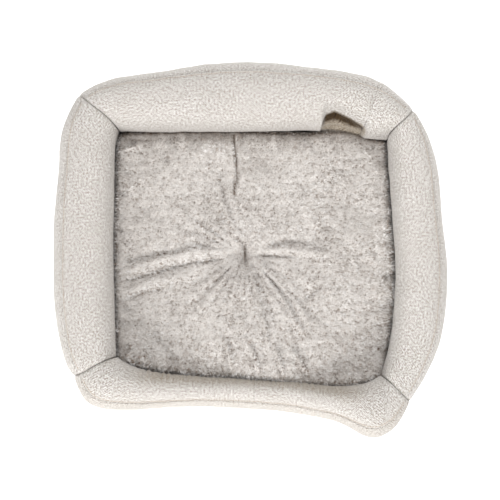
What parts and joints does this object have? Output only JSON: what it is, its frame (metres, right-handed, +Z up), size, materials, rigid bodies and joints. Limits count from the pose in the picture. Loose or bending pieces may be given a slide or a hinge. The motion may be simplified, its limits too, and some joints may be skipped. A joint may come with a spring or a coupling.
{
  "type": "pet cushion bed",
  "caption": "Low rounded-rectangular pet bed: stuffed woven bolster walls with a dipped front entry round a loose, centre-tufted plush cushion.",
  "frame": {"origin": "on the surface the bed stands on, under the middle of its outline", "axes": "+Z up, +Y to the back wall, -Y to the low entry side, +X to the right seen from the entry"},
  "size_m": [0.5085, 0.4808, 0.153],
  "materials": {
    "woven_fabric": "matt herringbone weave",
    "fibre_filling": "loose fibre",
    "base_fabric": "coarse plain weave",
    "grip_gel": "soft satin",
    "lining_fabric": "matt plain weave",
    "label_tape": "smooth satin tape",
    "plush": "short clumped pile with sheen",
    "thread": "twisted thread",
    "button_plastic": "matt"
  },
  "bodies": {
    "bed": {"left_bolster_cover": "woven_fabric", "right_bolster_cover": "woven_fabric", "back_cover_main": "woven_fabric", "back_cover_end": "woven_fabric", "front_cover_left": "woven_fabric", "front_cover_right": "woven_fabric", "left_outer_panel": "woven_fabric", "right_outer_panel": "woven_fabric", "back_outer_panel": "woven_fabric", "front_outer_panel": "woven_fabric", "left_filling": "fibre_filling", "right_filling": "fibre_filling", "back_filling": "fibre_filling", "front_filling": "fibre_filling", "base_wadding": "fibre_filling", "base_panel": "base_fabric", "grip_dots": "grip_gel", "floor_lining": "lining_fabric", "care_label": "label_tape"},
    "cushion": {"cushion_top": "plush", "cushion_underside": "lining_fabric", "cushion_filling": "fibre_filling", "tuft_thread": "thread", "tuft_button": "button_plastic"}
  },
  "joints": [
    {"name": "cushion_lift", "type": "slide", "parent": "bed", "child": "cushion", "axis": [0, 0, 1], "range_m": [0, 0.2]}
  ]
}
